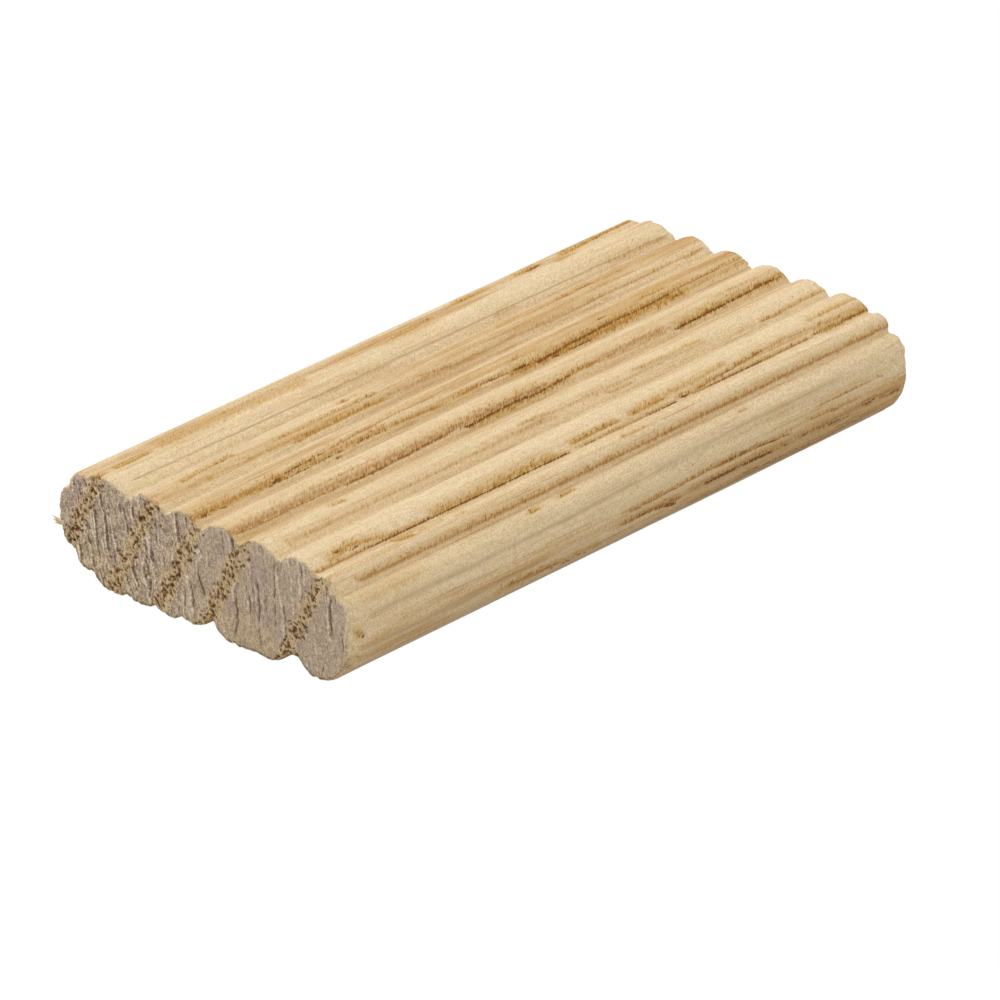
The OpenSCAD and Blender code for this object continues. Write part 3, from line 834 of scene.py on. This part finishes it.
def long_grain(tree, coords):
    """The long faces: cream latewood and tan earlywood, where the moulder's knives have
    torn open vessels into golden to dark brown lines. They leave the surface faintly
    furred, with short ticks across the grain. Painted highlights lie beside the lines and
    on the right side's edges. Returns its colour and its height."""
    f = wood_fields(tree, coords, LONG_PATTERNS, LONG_MARKS)
    f["warm"] = weighed(tree, f, 0.1, earlywood=0.3, broad=0.7, patch=0.6, streak=0.85,
                        mottle=0.25, tan=0.75)
    f["ragged"] = weighed(tree, f, -1.75, fibre=0.7, hatch=1.5, speck=1.3)
    f["frayed_halo"] = weighed(tree, f, halo=1.0, ragged=0.8)
    f["grey_line"] = weighed(tree, f, grey=1.1, ragged=0.6)
    f["brown_line"] = weighed(tree, f, brown=1.1, ragged=0.4)
    f["gold_line"] = weighed(tree, f, gold=1.1, ragged=0.6)
    f["dark_line"] = weighed(tree, f, dark=1.15, ragged=0.8)
    f["dark_core"] = weighed(tree, f, dark=1.1, ragged=0.85)
    f["open_vessel"] = shown(tree, f, ("dash", 0.58, 0.68), ("earlywood", 0.35, 0.8))
    f["torn"] = shown(tree, f, ("dark_line", 0.3, 0.8))
    f["nick"] = shown(tree, f, ("hatch", 0.45, 0.34), "halo")
    f["spiky"] = weighed(tree, f, hatch=1.0, speck=0.35)
    f["fur"] = weighed(tree, f, hatch=0.9, speck=1.6, fibre=0.25, mottle=0.55, patch=0.3)

    c = coated(tree, f, colour(CREAM), [
        (TAN, ("warm", 1.2, 1.9)),
        (BROWN, ("thread", 0.53, 0.64), ("warm", 1.1, 1.7, 0.05, 0.5)),
        (HALO, ("frayed_halo", 0.1, 0.9, 0.0, 0.9)),
        # painted highlight: the lit lips beside the lines and on the right side's edges
        (CREAM, "lit", 0.45),
        (GREY_LINE, ("grey_line", 0.08, 0.85, 0.0, 0.6)),
        (BROWN, ("brown_line", 0.08, 0.85, 0.0, 0.9)),
        (GOLD, ("gold_line", 0.08, 0.85, 0.0, 0.9)),
        (BROWN, "open_vessel", 0.55),
        (DARK, "torn"),
        (UMBER, ("dark_core", 0.68, 0.98, 0.0, 0.9)),
        (STRAW, "nick", 0.65),
        (BROWN, ("hatch", 0.55, 0.65), "halo", 0.45),
        (DARK, ("spiky", 0.76, 0.86), ("halo", 0.3, 0.75), 0.75),
    ])
    c = toned(tree, c, shown(tree, f, ("fur", 1.44, 2.16)), FURRED)
    c = toned(tree, c, shown(tree, f, ("blush", 0.38, 0.62)), HUES)
    return c, weighed(tree, f, hatch=0.6, fibre=0.5, speck=0.5, torn=-0.8, open_vessel=-0.6,
                      nick=0.4)


def end_grain(tree, coords):
    """The sawn ends: latewood crushed into thin flakes that overlap, their crests painted as
    light lines and the crevices between them painted as dark shade, and tan earlywood
    riddled with open pores. The left is rougher than the right. Returns its colour and its
    height."""
    f = wood_fields(tree, coords, END_PATTERNS, END_MARKS)
    f["across"], _, f["up"] = add(tree, "SeparateXYZ", {0: coords}).outputs
    f["olive"] = weighed(tree, f, 0.14, cloud=1.0, up=-0.04 / MM)
    f["lines"] = weighed(tree, f, -0.3, crest=1.1, coarse=0.6)
    f["frayed_band"] = weighed(tree, f, -1.3, earlywood=1.0, speck=1.3, coarse=1.3)
    f["open_pore"] = weighed(tree, f, -0.4, pore=1.0, speck=0.8)
    f["pitted"] = weighed(tree, f, speck=1.2, coarse=0.9)
    f["rough"] = shown(tree, f, ("across", -6 * MM, 4 * MM, 0.5, 0.3))

    c = coated(tree, f, colour(TAUPE), [
        (MAUVE, ("tint", 0.45, 0.62)),
        (OLIVE, ("olive", 0.42, 0.7, 0.0, 0.7)),
        # painted highlight on the flakes' crests and the end's upper rim, painted shade in their
        # crevices and along the lower rim
        (CREST_HIGHLIGHT, ("lines", 0.05, 0.45, 0.0, 0.8)),
        (CREVICE_SHADE, ("lines", -0.15, -0.7, 0.0, 0.66)),
        (EARLY_TAN, ("frayed_band", 0.15, 0.75), 0.8),
        (PORE_SOFT, ("open_pore", 0.12, 0.45, 0.0, 0.85)),
        (PORE, ("open_pore", 0.5, 1.0, 0.0, 0.9)),
    ])
    hollow, tip = weighed(tree, f, 0.5, rough=-1.0), weighed(tree, f, 0.5, rough=1.0)
    c = toned(tree, c, shown(tree, f, ("pitted", 0.75, 1.35, hollow, tip)), SAWN)
    return c, weighed(tree, f, speck=0.6, coarse=0.5, open_pore=-0.3)


def bare_ash():
    """Ash, a ring-porous hardwood, left bare: moulded along the grain and sawn across it,
    so that each long face and each end shows its own cut. Matt, with an even soft sheen."""
    mat = bpy.data.materials.new("bare_ash")
    mat.use_nodes = True
    tree = mat.node_tree
    shader = tree.nodes["Principled BSDF"]
    shader.inputs["IOR"].default_value = 1.45
    shader.inputs["Specular IOR Level"].default_value = 0.25
    shader.inputs["Roughness"].default_value = 0.65
    coords = add(tree, "TexCoord").outputs["Object"]
    side_colour, side_height = long_grain(tree, coords)
    end_colour, end_height = end_grain(tree, coords)

    # one finish goes over to the other along an edge that frays every 0.3 mm
    f = wood_fields(tree, coords, {"fray": ((0.3, 0.3, 0.3), (0, 0, 0), 2)}, ["endgrain"])
    f.update(side=side_height, end=end_height)
    f["cut"] = weighed(tree, f, -0.35, endgrain=1.0, fray=0.7)
    across = shown(tree, f, ("cut", 0.3, 0.7))
    mixed = add(tree, "Mix", {0: across, 6: side_colour, 7: end_colour}, data_type="RGBA")
    tree.links.new(mixed.outputs[2], shader.inputs["Base Color"])
    height = add(tree, "Mix", {0: across, 2: weighed(tree, f, side=BUMP_LONG),
                               3: weighed(tree, f, end=BUMP_END)}).outputs[0]
    bump = add(tree, "Bump", {"Height": height, "Strength": 1.0, "Distance": MM})
    tree.links.new(bump.outputs[0], shader.inputs["Normal"])
    return mat


# ---------------------------------------------------------------- pieces

def put_mesh(name, points, faces, mat, marks):
    """Makes an object at the origin from points in mm, with a value of each mark for
    every point."""
    mesh = bpy.data.meshes.new(name)
    mesh.from_pydata((points * MM).tolist(), [], faces)
    mesh.materials.append(mat)
    mesh.polygons.foreach_set("use_smooth", np.ones(len(faces), bool))
    for key, value in marks.items():
        layer = mesh.attributes.new(key, "FLOAT", "POINT")
        layer.data.foreach_set("value", np.ascontiguousarray(value, np.float32))
    mesh.validate()
    mesh.update()
    piece = bpy.data.objects.new(name, mesh)
    bpy.context.scene.collection.objects.link(piece)
    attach(piece, "root")
    return piece


def closed_faces(quads):
    """Quads as lists, where those with two corners in one place become triangles."""
    same = quads == np.roll(quads, -1, axis=1)
    faces = quads[~same.any(1)].tolist()
    for k in range(4):
        faces += np.delete(quads[same[:, k]], k, axis=1).tolist()
    return faces


# Broad lanes along the upper face made tanner, or paler where the strength is below 0:
# middle, half width, where each starts and ends along the grain, strength. The pale ones
# lie over groove roots and shaded right flanks, painted light that lifts their shade.
TAN_AND_LIGHT_LANES = [
    (-12.4, 1.5, -12, 20, 0.5), (-12.2, 1.2, -45, -8, 0.25), (-8.3, 1.2, -45, -6, -0.45),
    (-7.0, 1.8, -14, 45, 0.42), (-7.2, 0.8, 5, 45, 0.25), (-5.4, 0.6, 10, 45, -0.5),
    (-4.0, 1.1, -45, -8, -0.3), (-3.9, 1.2, -14, 12, 0.45), (-2.3, 0.8, -14, 45, 0.42),
    (-2.6, 0.8, -45, -8, 0.3), (-3.3, 1.3, 8, 45, 0.22), (3.9, 1.2, -45, -8, 0.25),
    (10.5, 0.7, -45, -8, -0.5), (12.0, 0.6, -45, 45, -0.3),
]
LANE_FADE = 12                  # how far along the grain a lane fades in and out
STAINS = ("gold", "brown", "dark")
HALO_OFF, HALO_WIDEN = 0.2, 2.6     # a line's halo lies to its left and is this much wider
LIT_OFF, LIT_WIDEN = 0.33, 1.3      # a painted highlight, a line's lit lip, lies to its right
SHOULDER_AT, SWELL_AT = 13.98, 5.5  # painted highlights on the right side's rounded edges


def marks_at(points, within, rim_shade):
    """The marks at each point: what the wood shows of the rings, the vessel lines, the
    broad tan lanes and the end grain and its pores, and the painted light: highlights
    beside the lines and on the right side's edges, the paler lanes over shaded grooves,
    and the painted highlight and shade of the end's crests and rims."""
    x, y, z = points.T
    marks = {stain: line_strength(x, y, z, stain) for stain in (*STAINS, "grey")}
    marks["halo"] = np.maximum.reduce([line_strength(x + HALO_OFF, y, z, stain, HALO_WIDEN)
                                       for stain in STAINS])
    lips = [line_strength(x - LIT_OFF, y, z, stain, LIT_WIDEN) for stain in STAINS]
    # painted highlights: a lit lip beside each line, a thin line in the root at the right shoulder
    # and a band along the right side's swell
    shoulder = 0.8 * np.exp(-((x - SHOULDER_AT) / 0.14) ** 2) * (z > 7)
    swell = 0.7 * np.exp(-((z - SWELL_AT) / 0.35) ** 2) * (x > 14.8) * step(y, -12, 0)
    marks["lit"] = np.maximum.reduce([*lips, shoulder, swell])

    upper = step(z, 7.5, 8.5) * step(np.abs(x - 0.2), 13.6, 13)
    marks["earlywood"] = earlywood(x, y, z) * (1 - 0.5 * upper * (within == 0))
    # tanner lanes, and paler ones that are painted light over shaded grooves and flanks
    lanes = sum(strength * step(np.abs(x - middle), half, 0.5 * half)
                * step(y, start, start + LANE_FADE) * (1 - step(y, stop - LANE_FADE, stop))
                for middle, half, start, stop, strength in TAN_AND_LIGHT_LANES)
    low_side = (x > 13.6) * (1 - step(z, 3.0, 6.0))
    marks["tan"] = lanes * upper + 0.25 * low_side

    # the saw's cut frays over the arris, and is rubbed off the end's right side
    edge = np.minimum(y - NEAR, FAR - y)
    right = step(x, 13.6, 15.0) * (y < 0)
    frayed_over = (0.2 + 0.2 * right + 0.4 * (z < 3)) * (1 - step(edge, 0.0, 0.3 + 0.8 * right))
    rubbed = 0.75 * step(x, 13.5, 15.0) + 0.8 * step(x, 12.2, 12.9) * step(z, 7.0, 7.8)
    marks["endgrain"] = np.where(within > 0, within - rubbed, frayed_over)
    at_end = (within > 0) | (edge < 1)
    marks["pore"], marks["crest"] = np.zeros_like(x), np.zeros_like(x)
    marks["pore"][at_end] = pores(x[at_end], z[at_end])
    marks["crest"][at_end] = flakes(x[at_end], z[at_end])[1]
    # painted highlight along the end's upper rim, and painted shade along its lower rim
    marks["crest"] += 0.7 * (1 - within) * (within > 0) - 0.7 * rim_shade
    return marks


# ---------------------------------------------------------------- torn fibre

# The fibres torn out at the left of the near end: root, tip, thickness and bend.
SPIKES = [
    ((-15.0, -31.4, 4.2), (-15.95, -31.7, 4.3), 0.26, 0.0),
    ((-15.1, -31.3, 4.15), (-16.2, -31.6, 4.4), 0.14, 0.1),
    ((-15.1, -31.35, 4.05), (-15.9, -31.6, 4.0), 0.15, 0.0),
]
SPIKE_ROWS, SPIKE_SIDES = 9, 8


def spike(root, tip, thick, bend):
    """A torn fibre: a thin spike that tapers from its root to its tip and bends over, as
    a function of the way along it and of the angle round it."""
    t = np.linspace(0, 1, SPIKE_ROWS)[:, None]
    a = np.linspace(0, 2 * np.pi, SPIKE_SIDES, endpoint=False)[None]
    root, tip = np.array(root), np.array(tip)
    way = (tip - root) / np.linalg.norm(tip - root)
    side = np.cross(way, [0, 1, 0])
    side /= np.linalg.norm(side)
    up = np.cross(side, way)
    axis = root + (tip - root) * t + np.array([0, 0, 1]) * bend * t ** 2
    radius = thick * (1 - 0.85 * t ** 1.5)
    ring = (np.cos(a) * radius)[..., None] * side + 0.7 * (np.sin(a) * radius)[..., None] * up
    points = (axis[:, None, :] + ring).reshape(-1, 3)
    index = np.arange(len(points)).reshape(SPIKE_ROWS, SPIKE_SIDES)
    lower, upper = index[:-1], index[1:]
    quads = np.stack([lower, np.roll(lower, -1, 1), np.roll(upper, -1, 1), upper], -1)
    faces = quads.reshape(-1, 4).tolist() + [index[0][::-1].tolist(), index[-1].tolist()]
    return points, faces


def torn_fibre():
    """All the spikes as one mesh."""
    made = [spike(*one) for one in SPIKES]
    start = np.cumsum([0] + [len(points) for points, _ in made])
    faces = [[k + first for k in face] for (_, own), first in zip(made, start) for face in own]
    return np.vstack([points for points, _ in made]), faces


ash = bare_ash()
points, quads, within, rim_shade = bar_mesh()
bar = put_mesh("fluted_bar", points, closed_faces(quads), ash, marks_at(points, within, rim_shade))
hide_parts("tenon")

points, faces = torn_fibre()
blank = np.zeros(len(points))
put_mesh("torn_fibre", points, faces, ash,
         {"gold": blank + 0.1, "halo": blank + 0.2, "crest": blank})


# ---------------------------------------------------------------- floor, light, camera

FLOOR_HALF, FLOOR_DROP = 3.0, 0.02 * MM     # half a side, and how far below the bar it lies
FLOOR_WHITE = 1.04
SENSOR = 36.0


def seen_straight(tree):
    """1 for rays that come from the camera, straight or by way of metal or glass."""
    path, seen = add(tree, "LightPath"), 0.0
    for ray in ("Is Camera Ray", "Is Glossy Ray", "Is Transmission Ray"):
        seen = add(tree, "Math", {0: path.outputs[ray], 1: seen}, operation="ADD",
                   use_clamp=True).outputs[0]
    return seen


def white_floor():
    """Matt white paper that the bar lies on. What the camera sees of it is mostly its own
    even white, with the bar's soft shadow left on it."""
    mat = bpy.data.materials.new("studio_floor")
    mat.use_nodes = True
    tree = mat.node_tree
    shader = tree.nodes["Principled BSDF"]
    shader.inputs["Base Color"].default_value = colour("#B0B0B0")
    shader.inputs["Roughness"].default_value = 0.9
    glow = add(tree, "Emission", {"Color": (1, 1, 1, 1), "Strength": FLOOR_WHITE})
    share = add(tree, "Math", {0: seen_straight(tree), 1: 0.95}, operation="MULTIPLY").outputs[0]
    both = add(tree, "MixShader", {0: share, 1: shader.outputs[0], 2: glow.outputs[0]})
    tree.links.new(both.outputs[0], tree.nodes["Material Output"].inputs["Surface"])
    mesh = bpy.data.meshes.new("floor")
    corners = [(x * FLOOR_HALF, y * FLOOR_HALF, 0) for x, y in ((-1, -1), (1, -1), (1, 1), (-1, 1))]
    mesh.from_pydata(corners, [], [(0, 1, 2, 3)])
    mesh.materials.append(mat)
    floor = bpy.data.objects.new("floor", mesh)
    bpy.context.scene.collection.objects.link(floor)
    floor.location.z = -FLOOR_DROP


def place_by_axes(thing, x, y, z, at):
    """Links a lamp or the camera with its own three axes and its place."""
    matrix = np.eye(4)
    matrix[:3] = np.column_stack([x, y, z, at])
    thing.matrix_world = Matrix(matrix.tolist())
    bpy.context.scene.collection.objects.link(thing)


def lamp(name, direction, distance, size, energy):
    """A square soft light that shines on the middle of the bar from a direction."""
    data = bpy.data.lights.new(name, "AREA")
    data.size, data.energy = size, energy
    z = np.array(direction) / np.linalg.norm(direction)
    x = np.cross([0, 0, 1], z)
    x /= np.linalg.norm(x)
    middle = np.array([0, 0, THICK / 2 * MM])
    place_by_axes(bpy.data.objects.new(name, data), x, np.cross(z, x), z, middle + z * distance)


def studio_world(level):
    """A white room: full white to the camera, and an even fill light."""
    world = bpy.data.worlds.new("studio")
    bpy.context.scene.world = world
    world.use_nodes = True
    tree = world.node_tree
    strength = add(tree, "MapRange", {0: seen_straight(tree), 3: level, 4: 1.0}).outputs[0]
    back = tree.nodes["Background"]
    back.inputs["Color"].default_value = (1, 1, 1, 1)
    tree.links.new(strength, back.inputs["Strength"])


def camera(turn, tip, focal, origin):
    """A long lens from the front right and above: turned and tipped by radians, with a
    focal length in widths of its view, and placed from where the origin lies in its
    view, in mm to the right, down and ahead."""
    right = np.array([math.cos(turn), math.sin(turn), 0])
    ahead = np.array([-math.sin(turn) * math.cos(tip), math.cos(turn) * math.cos(tip),
                      -math.sin(tip)])
    down = np.cross(ahead, right)
    data = bpy.data.cameras.new("camera")
    data.sensor_width = SENSOR
    data.sensor_fit = "HORIZONTAL"
    data.lens = SENSOR * focal
    data.clip_start, data.clip_end = 0.05, 20
    view = bpy.data.objects.new("camera", data)
    place_by_axes(view, right, -down, -ahead, -np.array(origin) @ [right, down, ahead] * MM)
    bpy.context.scene.camera = view


white_floor()
studio_world(0.5)
lamp("key", (-0.5, 0.35, 0.9), distance=0.6, size=0.35, energy=1.38)
lamp("side", (0.95, -0.1, 0.45), distance=0.9, size=0.5, energy=1.7)
lamp("front", (-1.0, -0.6, 0.45), distance=0.7, size=0.4, energy=1.6)
lamp("camera_side", (0.6, -0.66, 0.55), distance=0.9, size=0.6, energy=0.9)
camera(turn=0.74014, tip=0.45501, focal=9.74931, origin=(-0.85775, -0.24729, 756.203))
bpy.context.scene.view_settings.view_transform = "Standard"
